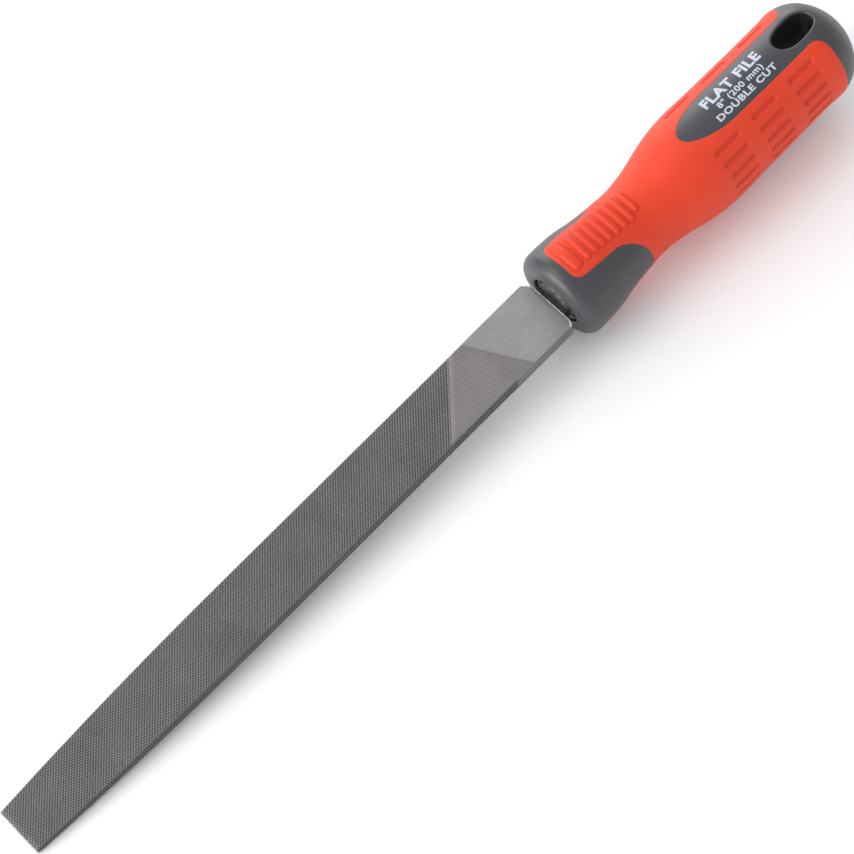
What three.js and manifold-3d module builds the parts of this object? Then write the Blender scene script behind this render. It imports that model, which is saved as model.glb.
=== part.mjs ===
// Flat engineer's file with a two-colour moulded handle.
// Millimetres. +X runs from the file's point to the butt of the handle, +Z out of the upper face.
// The origin is the centre of the bounding box: on the tool's axis, halfway along it.
import * as THREE from 'three';
import { mergeVertices } from 'three/addons/utils/BufferGeometryUtils.js';
import Module from 'manifold-3d';

// ---- driving dimensions ----------------------------------------------------------------------

// Blade: distances run from the point (0) to the shoulder.
const BLADE_LENGTH = 200;
const BLADE_HALF_WIDTH = 10;
const BLADE_HALF_THICKNESS = 1.9;
const WIDTH_TAPER_LENGTH = 85; // the edges converge over this stretch behind the point
const WIDTH_TAPER = 2.24; // how far each edge has come in at the point
const WIDTH_TAPER_CURVE = 2;
const THICKNESS_TAPER_LENGTH = 60;
const THICKNESS_TAPER = 0.68;
const THICKNESS_TAPER_CURVE = 2;
const POINT_BEVEL_LENGTH = 1.3;
const POINT_BEVEL_DEPTH = 0.45;
const HEEL_CORNER_LENGTH = 1.35; // the two rear corners are rounded off
const HEEL_CORNER_WIDTH = 2.6;

const TANG_LENGTH = 62;
const TANG_ROOT = { halfWidth: 6.2, halfThickness: 1.65 };
const TANG_END = { halfWidth: 2, halfThickness: 1.1 };

// Handle: distances run from the flat front face of the handle to its butt.
const HEEL_TO_HANDLE = 1.3;
const HANDLE_LENGTH = 113;
const TOTAL_LENGTH = BLADE_LENGTH + HEEL_TO_HANDLE + HANDLE_LENGTH;
const ROUND_SEGMENTS = 56;

// Outer profile of the handle: [distance from the front face, radius].
const HANDLE_PROFILE = [
  [0, 10.6], [0.5, 12.1], [1.5, 13.3], [2.8, 13.95], [4.3, 14.15], [7, 14.1], [12.5, 13.75],
  [18.3, 12.7], [25, 11.95], [31, 11.45], [36, 11.85], [41.1, 12.72], [46.8, 14.1],
  [52.5, 15.1], [59, 15.5], [68, 15.3], [96, 15.15], [101, 15.35],
  [104.2, 14.7], [107, 13.2], [109.3, 10.9], [111.3, 7.8], [112.5, 4.4], [113, 0],
];

// Bore for the tang sleeve, and the sleeve in it: [distance from the front face, radius].
const BORE_MOUTH_RADIUS = 7.9;
const BORE_END_RADIUS = 6.1;
const BORE_DEPTH = 64;
const SLEEVE_RECESS = 0.9;
const SLEEVE_LENGTH = 56;
const GAP = 0.3; // clearance between neighbouring pieces

// Overmould: seen from above, its outline is cut straight through along Z.
const OVERMOULD_WALL = 2.2;
const PAD_FRONT = 5; // front edge of the strip along the top and the bottom
const PAD_HALF_WIDTH = 7.3;
const PAD_CORNER = 2.6;
const CHEEK_START = 20; // the bare side cheeks of the core close between these two distances
const CHEEK_END = 27.4;
const CHEEK_TURN = 5.6; // how far out to the side the closing curve runs
const CHEEK_CURVE = 0.68;
const LABEL_TIP = 53.2; // front tip of the bare label panel on the top and the bottom
const LABEL_FULL = 69; // the panel has its full width from here
const LABEL_HALF_WIDTH = 6.45;
const LOBE_END = 101.8; // rear end of the grip lobe on each side
const LOBE_CORNER = 4;

// Thumb ribs on the top and the bottom strip.
const RIB_BLOCK = [6.6, 9.8]; // the first rib is a broad block
const RIB_FIRST = 11.3;
const RIB_PITCH = 2.76;
const RIB_COUNT = 8;
const RIB_WIDTH = 1.5;
const RIB_HEIGHT = 0.55;
const RIB_HALF_LENGTH = 5.2;

// Short grooves in the two grip lobes: three per row, rows spaced round the side.
const GROOVE_LENGTH = 9.8;
const GROOVE_WIDTH = 1.7;
const GROOVE_DEPTH = 0.5;
const GROOVED_RADIUS = 15.2;
const GROOVE_COLUMNS = [61.4, 76.1, 90.8]; // centres
const GROOVE_ROWS = 8;
const GROOVE_ROW_PITCH_DEG = 15;
const GROOVE_FIRST_ROW_DEG = 39.2; // measured from straight up, to either side

// Hang hole through the butt, along Z.
const HOLE_CENTRE = 98.2;
const HOLE_HALF_LENGTH = 7.05;
const HOLE_HALF_WIDTH = 4.15;
const HOLE_SQUARENESS = 2.3;

// ---- helpers ---------------------------------------------------------------------------------

const wasm = await Module();
wasm.setup();

const bladeX = (distance) => distance - TOTAL_LENGTH / 2;
const handleX = (distance) => bladeX(BLADE_LENGTH + HEEL_TO_HANDLE + distance);

function solid(geometry) {
  const plain = geometry.clone();
  for (const name of Object.keys(plain.attributes)) {
    if (name !== 'position') plain.deleteAttribute(name);
  }
  const welded = mergeVertices(plain, 1e-5);
  return new wasm.Manifold(new wasm.Mesh({
    numProp: 3,
    vertProperties: new Float32Array(welded.attributes.position.array),
    triVerts: new Uint32Array(welded.index.array),
  }));
}

function mesh(name, manifold, colour, roughness, metalness = 0) {
  const out = manifold.getMesh();
  const geometry = new THREE.BufferGeometry();
  geometry.setAttribute('position', new THREE.BufferAttribute(out.vertProperties, 3));
  geometry.setIndex(new THREE.BufferAttribute(out.triVerts, 1));
  geometry.computeVertexNormals();
  const made = new THREE.Mesh(
    geometry, new THREE.MeshStandardMaterial({ color: colour, roughness, metalness }));
  made.name = name;
  return made;
}

// A body of revolution about the X axis from [x, radius] points whose two ends are on the axis.
function turned(points) {
  const profile = points.map(([x, radius]) => new THREE.Vector2(radius, x));
  const lathe = new THREE.LatheGeometry(profile, ROUND_SEGMENTS);
  // The lathe turns about Y; swap it onto X without mirroring.
  lathe.rotateZ(-Math.PI / 2);
  return solid(lathe);
}

// A straight prism along Z with the given outline in the XY plane, reaching past the handle.
const REACH = 20;
function prism(outline) {
  const shape = new THREE.Shape(outline.map(([x, y]) => new THREE.Vector2(x, y)));
  const block = new THREE.ExtrudeGeometry(shape, { depth: 2 * REACH, bevelEnabled: false });
  block.translate(0, 0, -REACH);
  return solid(block);
}

// A body of rectangular cross-sections: [{ x, halfWidth, halfThickness }, ...].
function lofted(sections) {
  const positions = [];
  for (const { x, halfWidth: w, halfThickness: t } of sections) {
    positions.push(x, -w, -t, x, w, -t, x, w, t, x, -w, t);
  }
  const faces = [0, 3, 2, 0, 2, 1];
  const last = 4 * (sections.length - 1);
  faces.push(last, last + 1, last + 2, last, last + 2, last + 3);
  for (let i = 0; i < sections.length - 1; i += 1) {
    for (let k = 0; k < 4; k += 1) {
      const a = 4 * i + k;
      const b = 4 * i + ((k + 1) % 4);
      faces.push(a, b, b + 4, a, b + 4, a + 4);
    }
  }
  const body = new THREE.BufferGeometry();
  body.setAttribute('position', new THREE.Float32BufferAttribute(positions, 3));
  body.setIndex(faces);
  return solid(body);
}

// Points on a quarter turn of an ellipse, from angle 0 to 90 degrees.
function quarter(steps, place) {
  return Array.from({ length: steps + 1 }, (_, i) => {
    const angle = (i / steps) * (Math.PI / 2);
    return place(Math.cos(angle), Math.sin(angle));
  });
}

// ---- blade -----------------------------------------------------------------------------------

function bladeSection(distance) {
  const inWidth = Math.max(0, 1 - distance / WIDTH_TAPER_LENGTH) ** WIDTH_TAPER_CURVE;
  const inThickness = Math.max(0, 1 - distance / THICKNESS_TAPER_LENGTH) ** THICKNESS_TAPER_CURVE;
  return {
    x: bladeX(distance),
    halfWidth: BLADE_HALF_WIDTH - WIDTH_TAPER * inWidth,
    halfThickness: BLADE_HALF_THICKNESS - THICKNESS_TAPER * inThickness,
  };
}

function makeBlade() {
  const point = bladeSection(0);
  point.halfThickness -= POINT_BEVEL_DEPTH;
  const stations = [POINT_BEVEL_LENGTH, 4, 8, 13, 19, 26, 34, 42, 51, THICKNESS_TAPER_LENGTH,
    WIDTH_TAPER_LENGTH];
  const corner = quarter(4, (c, s) => ({
    x: bladeX(BLADE_LENGTH - HEEL_CORNER_LENGTH * (1 - s)),
    halfWidth: BLADE_HALF_WIDTH - HEEL_CORNER_WIDTH * (1 - c),
    halfThickness: BLADE_HALF_THICKNESS,
  }));
  const body = lofted([point, ...stations.map(bladeSection), ...corner]);
  const tang = lofted([
    { x: bladeX(BLADE_LENGTH - 2), ...TANG_ROOT },
    { x: bladeX(BLADE_LENGTH + TANG_LENGTH), ...TANG_END },
  ]);
  return body.add(tang);
}

// ---- handle ----------------------------------------------------------------------------------

// The handle's outside, grown or shrunk by an offset.
function handleBody(offset = 0) {
  const points = HANDLE_PROFILE.map(([x, radius], i) => {
    const before = HANDLE_PROFILE[Math.max(0, i - 1)];
    const after = HANDLE_PROFILE[Math.min(HANDLE_PROFILE.length - 1, i + 1)];
    const run = Math.hypot(after[0] - before[0], after[1] - before[1]);
    const nx = -(after[1] - before[1]) / run;
    const nr = (after[0] - before[0]) / run;
    return [x + offset * nx, Math.max(0, radius + offset * nr)];
  });
  const first = points[0];
  const last = points[points.length - 1];
  last[0] = HANDLE_LENGTH + offset;
  last[1] = 0;
  return turned([[handleX(first[0]), 0], ...points.map(([x, r]) => [handleX(x), r])]);
}

// One half (y > 0) of the overmould's outline seen from above, grown by an offset.
function gripHalfOutline(grow) {
  const pad = PAD_HALF_WIDTH + grow;
  const label = LABEL_HALF_WIDTH - grow;
  const beside = REACH - 1; // well outside the handle's surface
  return [
    ...quarter(4, (c, s) => [
      PAD_FRONT - grow + PAD_CORNER * (1 - c), pad - PAD_CORNER * (1 - s)]),
    ...quarter(7, (c, s) => [
      CHEEK_START + (CHEEK_END - CHEEK_START) * s - grow,
      pad + CHEEK_TURN * (1 - c) ** CHEEK_CURVE]),
    [CHEEK_END - grow, beside],
    [LOBE_END + grow, beside],
    ...quarter(4, (c, s) => [
      LOBE_END + grow - LOBE_CORNER * (1 - c), label + LOBE_CORNER * (1 - s)]),
    ...quarter(8, (c, s) => [
      LABEL_TIP + grow + (LABEL_FULL - LABEL_TIP) * (1 - s), label * c]),
  ];
}

// The space the overmould fills: its outline, from its inner face outwards.
function gripRegion(grow) {
  const half = gripHalfOutline(grow);
  const other = half.slice(0, -1).map(([x, y]) => [x, -y]).reverse();
  const outline = [...half, ...other].map(([x, y]) => [handleX(x), y]);
  return prism(outline).subtract(handleBody(-(OVERMOULD_WALL + grow)));
}

// Raised thumb ribs, as short bars across the top and the bottom strip.
function thumbRibs() {
  const shell = handleBody(RIB_HEIGHT).subtract(handleBody(-0.5));
  const spans = [RIB_BLOCK];
  for (let i = 0; i < RIB_COUNT; i += 1) {
    const start = RIB_FIRST + i * RIB_PITCH;
    spans.push([start, start + RIB_WIDTH]);
  }
  const end = RIB_FIRST + RIB_COUNT * RIB_PITCH;
  let ribs = null;
  for (const [from, to] of spans) {
    // The rib pad ends in a half circle, so the last ribs are shorter.
    const left = Math.max(0, end - to) / RIB_HALF_LENGTH;
    const half = RIB_HALF_LENGTH * (left >= 1 ? 1 : Math.sqrt(1 - (1 - left) ** 2));
    const bar = prism([[from, -half], [to, -half], [to, half], [from, half]]
      .map(([x, y]) => [handleX(x), y])).intersect(shell);
    ribs = ribs ? ribs.add(bar) : bar;
  }
  return ribs;
}

// One stadium-shaped cutter for a grip groove, standing at the given angle round the handle.
function grooveCutter(centre, degreesFromTop) {
  const straight = GROOVE_LENGTH / 2 - GROOVE_WIDTH / 2;
  const shape = new THREE.Shape();
  shape.absarc(straight, 0, GROOVE_WIDTH / 2, -Math.PI / 2, Math.PI / 2);
  shape.absarc(-straight, 0, GROOVE_WIDTH / 2, Math.PI / 2, (3 * Math.PI) / 2);
  const block = new THREE.ExtrudeGeometry(
    shape, { depth: 4, bevelEnabled: false, curveSegments: 3 });
  block.translate(handleX(centre), 0, GROOVED_RADIUS - GROOVE_DEPTH);
  block.rotateX(THREE.MathUtils.degToRad(degreesFromTop));
  return solid(block);
}

function grooves() {
  const cutters = [];
  for (const centre of GROOVE_COLUMNS) {
    for (let row = 0; row < GROOVE_ROWS; row += 1) {
      const step = row * GROOVE_ROW_PITCH_DEG;
      cutters.push(grooveCutter(centre, GROOVE_FIRST_ROW_DEG + step));
      cutters.push(grooveCutter(centre, -(GROOVE_FIRST_ROW_DEG + step)));
    }
  }
  return cutters;
}

function hangHole() {
  const count = 36;
  const power = 2 / HOLE_SQUARENESS;
  const outline = Array.from({ length: count }, (_, i) => {
    const angle = (2 * Math.PI * i) / count;
    const c = Math.cos(angle);
    const s = Math.sin(angle);
    return [
      handleX(HOLE_CENTRE + HOLE_HALF_LENGTH * Math.sign(c) * Math.abs(c) ** power),
      HOLE_HALF_WIDTH * Math.sign(s) * Math.abs(s) ** power,
    ];
  });
  return prism(outline);
}

function makeCore() {
  const bore = turned([
    [handleX(-2), 0], [handleX(-2), BORE_MOUTH_RADIUS], [handleX(0), BORE_MOUTH_RADIUS],
    [handleX(BORE_DEPTH), BORE_END_RADIUS], [handleX(BORE_DEPTH), 0],
  ]);
  return handleBody().subtract(gripRegion(GAP)).subtract(bore).subtract(hangHole());
}

function makeGrip() {
  let body = handleBody().add(thumbRibs()).intersect(gripRegion(0));
  for (const cutter of grooves()) body = body.subtract(cutter);
  return body;
}

// The sleeve fills the bore and holds the tang in a tapering rectangular socket.
function makeSleeve() {
  const radiusAt = (distance) => BORE_MOUTH_RADIUS - GAP
    + ((BORE_END_RADIUS - BORE_MOUTH_RADIUS) * distance) / BORE_DEPTH;
  const front = SLEEVE_RECESS;
  const back = SLEEVE_RECESS + SLEEVE_LENGTH;
  const body = turned([
    [handleX(front), 0], [handleX(front), radiusAt(front)],
    [handleX(back), radiusAt(back)], [handleX(back), 0],
  ]);
  const socketSection = (distance) => {
    const along = (distance + HEEL_TO_HANDLE + 2) / (TANG_LENGTH + 2);
    const mix = (a, b) => a + (b - a) * along + GAP;
    return {
      x: handleX(distance),
      halfWidth: mix(TANG_ROOT.halfWidth, TANG_END.halfWidth),
      halfThickness: mix(TANG_ROOT.halfThickness, TANG_END.halfThickness),
    };
  };
  return body.subtract(lofted([socketSection(-1), socketSection(back + 1)]));
}

// ---- the part --------------------------------------------------------------------------------

const part = new THREE.Group();
part.name = 'flat_file';
part.add(
  mesh('blade', makeBlade(), 0x8f8d8c, 0.38, 1),
  mesh('tang_sleeve', makeSleeve(), 0x1b1b1d, 0.6),
  mesh('handle_core', makeCore(), 0x55565b, 0.5),
  mesh('grip_overmould', makeGrip(), 0xe8482f, 0.55),
);

export default part;
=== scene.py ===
# A flat engineer's file with a two-colour moulded handle.
# Lengths in this script are millimetres until a mesh is made, then metres. +X runs from the point
# of the file to the butt of the handle, and +Z stands out of the upper face.
import math

import bmesh
import bpy
import numpy as np
from mathutils import Matrix, Vector, geometry


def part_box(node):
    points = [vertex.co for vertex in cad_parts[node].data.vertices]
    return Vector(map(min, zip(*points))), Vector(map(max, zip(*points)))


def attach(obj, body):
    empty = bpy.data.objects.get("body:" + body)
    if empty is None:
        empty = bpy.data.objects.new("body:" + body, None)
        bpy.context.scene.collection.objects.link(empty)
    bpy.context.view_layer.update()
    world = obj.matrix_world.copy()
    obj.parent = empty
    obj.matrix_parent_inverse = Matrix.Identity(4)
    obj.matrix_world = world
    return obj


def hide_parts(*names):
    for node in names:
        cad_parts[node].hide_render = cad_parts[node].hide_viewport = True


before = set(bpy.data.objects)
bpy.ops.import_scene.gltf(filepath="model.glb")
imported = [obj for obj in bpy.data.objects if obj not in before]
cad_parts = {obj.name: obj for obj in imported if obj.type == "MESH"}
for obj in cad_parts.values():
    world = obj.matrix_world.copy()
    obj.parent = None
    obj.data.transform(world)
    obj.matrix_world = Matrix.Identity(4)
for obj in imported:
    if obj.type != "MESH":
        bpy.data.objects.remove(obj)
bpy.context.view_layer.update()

# ---- file blade ------------------------------------------------------------------------------
# A forged and ground blank of carbon tool steel. Both faces are double cut: a shallow overcut
# first, then a deeper upcut across it, which raises rows of small diamond teeth. The two edges
# have a single cut, and the heel is left plain as it came from the grinding wheel.
TO_MM = 1000.0
point_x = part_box("blade")[0].x * TO_MM
half_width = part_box("blade")[1].y * TO_MM
half_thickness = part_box("blade")[1].z * TO_MM
handle_front_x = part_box("handle_core")[0].x * TO_MM
HEEL_TO_HANDLE = 1.3
blade_length = handle_front_x - HEEL_TO_HANDLE - point_x

WIDTH_TAPER = {"over": 85.0, "amount": 2.24, "power": 2.0}
THICKNESS_TAPER = {"over": 60.0, "amount": 0.68, "power": 2.0}
EDGE_CHAMFER = 0.12
POINT_BEVEL = {"length": 0.35, "depth": 0.14}
BEVEL_EDGE = 0.02  # the width of the line between the bevel and the teeth
POINT_CORNER = 0.45
# What is missing at the two rear corners: off the end, off the side.
GROUND_CORNER = [(1.75, 0.0), (1.3, 0.75), (0.9, 0.95), (0.3, 2.2), (0.0, 2.55)]
ROUNDED_CORNER = (1.35, 2.6)
SHOULDER_SLANT = 0.06  # the shoulder was ground a little out of square
SHOULDER_WAVE = 0.03
SHOULDER_STEPS = [(0.5, 0.0), (0.14, 0.07), (0.0, 0.3)]  # in from the edge, down from the face

# Each cut: the slope of its furrows from the tool's axis, their spacing and depth, where in a
# pitch the crest stands, and the number of the last furrow before the heel.
UPCUT = {"angle": 47.9, "pitch": 0.733, "depth": 0.16, "crest": 0.36, "last": 164.6, "fade": 2.5}
OVERCUT = {"angle": 114.7, "pitch": 0.664, "depth": 0.11, "crest": 0.4, "last": 245.6, "fade": 1.0}
EDGE_CUT = {"pitch": 0.745, "depth": 0.12, "crest": 0.4, "last": 177.2}
FIRST_FURROW = -40  # slanting furrows that start beyond the point still cross its corner
MOST_FURROWS = 300  # more than any cut has
CHISEL_DRIFT = 0.05
HEEL_GRID = 1.6
HEEL_GRID_START = 165
LONGEST_RUN_OUT = 1.2
DRIFT_TURN = 2.399  # spreads the drift of neighbouring furrows evenly
# Painted shade: how light the crests are painted, and how much of that the bottoms of the furrows
# lose.
DOUBLE_SHADE = {"crest": 0.97, "deep": 0.58, "shallow": 0.38}
SINGLE_SHADE = {"crest": 0.56, "shallow": 0.27}


def taper(distance, rule, full):
    """Half a width or thickness of the blade at a distance from the point."""
    left = np.clip(1 - np.asarray(distance, float) / rule["over"], 0, 1)
    return full - rule["amount"] * left ** rule["power"]


def furrow(phase, crest):
    """0 on a crest and 1 at the bottom of a furrow, in straight flanks."""
    part = np.mod(phase, 1.0)
    return np.where(part < crest, 1 - part / crest, (part - crest) / (1 - crest))


def cut_axis(cut):
    """The vector whose product with (distance, y) counts the furrows of a cut from the point."""
    slope = math.radians(cut["angle"])
    return np.array([math.sin(slope), -math.cos(slope)]) / cut["pitch"]


def cut_share(cut, where):
    """0 where a cut has left the face alone, up to 1 at the bottom of a furrow, and its reach."""
    phase = where @ cut_axis(cut)
    number = np.floor(phase).astype(int)
    drift = 1 + CHISEL_DRIFT * np.sin(number * DRIFT_TURN + cut["angle"])
    reach = np.clip((cut["last"] - phase) / cut["fade"], 0, 1)
    return drift * furrow(phase, cut["crest"]) * reach, reach


def cut_depth(cut, where):
    return cut["depth"] * cut_share(cut, where)[0]


def crest_painted_shade(where):
    """How near the crest each point of a face is: this drives the steel's painted shade, light on
    the crests and dark in the furrows.
    """
    deep, reach = cut_share(UPCUT, where)
    shallow, _ = cut_share(OVERCUT, where)
    double = DOUBLE_SHADE["crest"] - DOUBLE_SHADE["deep"] * deep - DOUBLE_SHADE["shallow"] * shallow
    single = SINGLE_SHADE["crest"] - SINGLE_SHADE["shallow"] * shallow
    return double * reach + single * (1 - reach)


def edge_depth(distance):
    """How far the single cut goes into the narrow edges."""
    fade = np.clip((EDGE_CUT["last"] - distance) / EDGE_CUT["pitch"], 0, 1)
    return EDGE_CUT["depth"] * fade * furrow(distance / EDGE_CUT["pitch"], EDGE_CUT["crest"])


def edge_y(distance, inset=0.0):
    return taper(distance, WIDTH_TAPER, half_width) - edge_depth(distance) - inset


def face_height(where, side):
    """Height of a blade face over the middle plane. The lower face is the upper one turned over."""
    seen = where * [1, side]
    flat = taper(where[:, 0], THICKNESS_TAPER, half_thickness)
    whole = np.clip(where[:, 0] / POINT_BEVEL["length"], 0, 1)
    toothed = flat - whole * (cut_depth(UPCUT, seen) + cut_depth(OVERCUT, seen))
    return np.minimum(toothed, flat - POINT_BEVEL["depth"] * (1 - whole))


def crests_and_bottoms(cut, furrows):
    return np.sort(np.concatenate([furrows, furrows + cut["crest"]]))


def edge_crossings(cut, side, edge):
    """Where a cut's crests and bottoms run out over one edge of a face, in a few rounds."""
    axis = cut_axis(cut)
    phases = crests_and_bottoms(cut, np.arange(FIRST_FURROW, cut["last"] + 1))
    phases = phases[phases < cut["last"] + 0.5]
    distance = phases / axis[0]
    for _ in range(4):
        distance = (phases - axis[1] * side * edge * edge_y(distance, EDGE_CHAMFER)) / axis[0]
    return phases, distance


def heel_corner(edge):
    """One rear corner of the blank, from the edge round to the shoulder: one ground, one rounded."""
    cut_off = GROUND_CORNER
    if edge < 0:
        off_end, off_side = ROUNDED_CORNER
        cut_off = [(off_end * (1 - math.sin(a)), off_side * (1 - math.cos(a)))
                   for a in np.linspace(0, math.pi / 2, 7)]
    corner = [(blade_length - b, edge * (half_width - c)) for b, c in cut_off]
    return [(b + SHOULDER_SLANT * y, y) for b, y in corner]


def end_outline():
    """The outline of the two ends, from the -Y edge round to the +Y edge at each end."""
    heel = heel_corner(-1)
    heel += [(blade_length + SHOULDER_SLANT * y + SHOULDER_WAVE * math.sin(5 * y), y)
             for y in np.linspace(-6.6, 6.6, 18)]
    heel += heel_corner(1)[::-1]
    tip_half = float(taper(0, WIDTH_TAPER, half_width))
    corner = [(POINT_CORNER * (1 - math.cos(a)), tip_half - POINT_CORNER * (1 - math.sin(a)))
              for a in np.linspace(0, math.pi / 2, 4)]
    middle = [(0.0, y) for y in np.linspace(-5.6, 5.6, 14)]
    tip = [(u, -y) for u, y in corner[::-1]] + middle + corner
    return np.array(heel), np.array(tip)


def pulled_in(outline, distance):
    """Moves an end outline towards the middle of the blade, square to itself."""
    along = np.gradient(outline, axis=0)
    along /= np.linalg.norm(along, axis=1)[:, None]
    inward = np.stack([-along[:, 1], along[:, 0]], 1)
    return outline + distance * inward


def in_blade(flat, z):
    """Points of the tool from (distance, y) points of the blade and their heights."""
    return np.stack([point_x + flat[:, 0], flat[:, 1], z], -1)


WELD = 0.0001


class Sheets:
    """Collects triangles with a few painted values at each corner, then welds them to a mesh."""

    def __init__(self, *painted):
        self.painted = painted
        self.points, self.faces, self.values, self.count = [], [], [], 0

    def add(self, points, faces, **values):
        points = np.asarray(points, float)
        faces = np.asarray(faces, int).reshape(-1, 3)
        self.points.append(points)
        self.faces.append(faces + self.count)
        columns = [np.broadcast_to(values.get(name, 0.0), len(points)) for name in self.painted]
        self.values.append(np.stack(columns, 1)[faces])
        self.count += len(points)

    def strip(self, first, second, closed=False, **values):
        """A band of triangles between two rows with the same number of points and values."""
        n = len(first)
        faces = []
        for i in range(n if closed else n - 1):
            j = (i + 1) % n
            faces += [(i, j, n + j), (i, n + j, n + i)]
        both = {name: np.tile(np.broadcast_to(value, n), 2) for name, value in values.items()}
        self.add(np.concatenate([first, second]), faces, **both)

    def skin(self, rows, closed=False, **values):
        """Bands between each row and the next."""
        for first, second in zip(rows, rows[1:]):
            self.strip(first, second, closed, **values)

    def mesh(self, name, smooth_below):
        """The welded mesh: an edge that turns by this many degrees or more stays sharp."""
        points = np.concatenate(self.points)
        keys = np.round(points / WELD).astype(np.int64)
        _, first, where = np.unique(keys, axis=0, return_index=True, return_inverse=True)
        faces = where.reshape(-1)[np.concatenate(self.faces)]
        whole = (faces[:, 0] != faces[:, 1]) & (faces[:, 1] != faces[:, 2])
        whole &= faces[:, 0] != faces[:, 2]
        made = bpy.data.meshes.new(name)
        made.from_pydata((points[first] / TO_MM).tolist(), [], faces[whole].tolist())
        values = np.concatenate(self.values)[whole].reshape(-1, len(self.painted))
        for k, label in enumerate(self.painted):
            layer = made.attributes.new(label, "FLOAT", "CORNER")
            layer.data.foreach_set("value", values[:, k].astype(np.float32))
        shape = bmesh.new()
        shape.from_mesh(made)
        bmesh.ops.recalc_face_normals(shape, faces=shape.faces)
        limit = math.radians(smooth_below)
        for edge in shape.edges:
            if len(edge.link_faces) == 2:
                edge.smooth = edge.calc_face_angle() < limit
        for face in shape.faces:
            face.smooth = True
        shape.to_mesh(made)
        shape.free()
        return placed(name, made)


def placed(name, data):
    """An object in the scene that shows the given mesh, print, lamp or camera."""
    thing = bpy.data.objects.new(name, data)
    bpy.context.collection.objects.link(thing)
    return thing


def triangulated(points, edges):
    """Triangles over flat points that keep the given edges: points, triangles and sources."""
    found = geometry.delaunay_2d_cdt([Vector(p) for p in points], edges, [], 1, 1e-6)
    sources = np.array([s[0] if s else -1 for s in found[3]])
    return np.array([(v.x, v.y) for v in found[0]]), np.array(found[2]), sources


LEAST_GAP = 0.02  # between the points along an edge
LEAST_FURROW_GAP = 0.004  # and where a furrow of the face runs out
PLAIN_EDGE = EDGE_CUT["last"] + 9  # from here to the heel a point each millimetre is enough


def edge_row(side, edge):
    """Points along one edge of a face: where the edge is cut, and where face furrows run out."""
    row = [(d, None) for d in edge_stations]
    for which, cut in enumerate((UPCUT, OVERCUT)):
        phases, distance = edge_crossings(cut, side, edge)
        row += [(d, (which, round(float(p), 4))) for p, d in zip(phases, distance)]
    start = POINT_CORNER + LEAST_GAP
    kept = []
    for distance, furrow_tag in sorted(row, key=lambda r: r[0]):
        if not start < distance < PLAIN_EDGE:
            continue
        gap = distance - kept[-1][0] if kept else 1.0
        if gap < (LEAST_GAP if furrow_tag is None else LEAST_FURROW_GAP):
            continue
        kept.append((distance, furrow_tag))
    return kept + [(d, None) for d in np.arange(PLAIN_EDGE + 0.5, blade_length - 2, 1.0)]


def face_layout(side, heel, tip):
    """Points and kept edges of one toothed face, seen from above, and its two edge rows."""
    run_outs = {}
    points = []
    edge_rows = {edge: edge_row(side, edge) for edge in (-1, 1)}
    for edge, row in edge_rows.items():
        for distance, furrow_tag in row:
            if furrow_tag:
                run_outs.setdefault(furrow_tag, []).append(len(points))
            points.append((distance, edge * float(edge_y(distance, EDGE_CHAMFER))))
    points += [tuple(p) for p in (*heel, *tip)]
    counts = [len(edge_rows[-1]), len(edge_rows[1]), len(heel), len(tip)]
    stops = np.cumsum([0] + counts)
    right, left, heel_ids, tip_ids = [list(range(*pair)) for pair in zip(stops, stops[1:])]
    ring = right + heel_ids + left[::-1] + tip_ids[::-1]
    edges = list(zip(ring, ring[1:] + ring[:1]))

    for distance in (POINT_BEVEL["length"], POINT_BEVEL["length"] + BEVEL_EDGE):
        reach = float(edge_y(distance, EDGE_CHAMFER)) - LEAST_GAP
        edges.append((len(points), len(points) + 1))
        points += [(distance, -reach), (distance, reach)]

    # A point at each crossing of the two cuts' crests and bottoms, joined along every furrow.
    back = np.linalg.inv([cut_axis(UPCUT), cut_axis(OVERCUT)])
    furrows = np.arange(FIRST_FURROW, MOST_FURROWS)
    ticks = [crests_and_bottoms(cut, furrows) for cut in (UPCUT, OVERCUT)]
    grid_a, grid_b = np.meshgrid(*ticks, indexing="ij")
    where = np.stack([grid_a, grid_b], -1) @ back.T
    where[..., 1] *= side
    distance, y = where[..., 0], where[..., 1]
    inside = (distance > 0.3) & (np.abs(y) < edge_y(distance, EDGE_CHAMFER + 0.05))
    inside &= np.abs(distance - POINT_BEVEL["length"]) > 0.05
    inside &= (grid_b < OVERCUT["last"] + 0.5) & (distance < blade_length - 3)
    ids = np.full(grid_a.shape, -1)
    ids[inside] = len(points) + np.arange(int(inside.sum()))
    points += [tuple(p) for p in where[inside]]
    for which, table in ((0, ids), (1, ids.T)):
        for tick, row in zip(ticks[which], table):
            run = row[row >= 0].tolist()
            if not run:
                continue
            for end in run_outs.get((which, round(float(tick), 4)), []):
                gaps = [math.dist(points[end], points[k]) for k in (run[0], run[-1])]
                if min(gaps) < LONGEST_RUN_OUT:
                    edges.append((end, run[0] if gaps[0] < gaps[1] else run[-1]))
            edges += list(zip(run, run[1:]))
    spare = np.array([(u, y) for u in np.arange(HEEL_GRID_START, blade_length - 1.2, HEEL_GRID)
                      for y in np.arange(-9, 9.1, HEEL_GRID)])
    beyond = (spare * [1, side]) @ cut_axis(OVERCUT) > OVERCUT["last"] + 1.4
    points += [tuple(p) for p in spare[beyond]]
    return points, edges, edge_rows


edge_stations = crests_and_bottoms(EDGE_CUT, np.arange(MOST_FURROWS)) * EDGE_CUT["pitch"]
edge_stations = edge_stations[edge_stations < EDGE_CUT["last"]]

# Those teeth, the shoulder's chamfer and the point's chamfer are also painted bright: partly real
# polish, partly a painted highlight.
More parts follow.
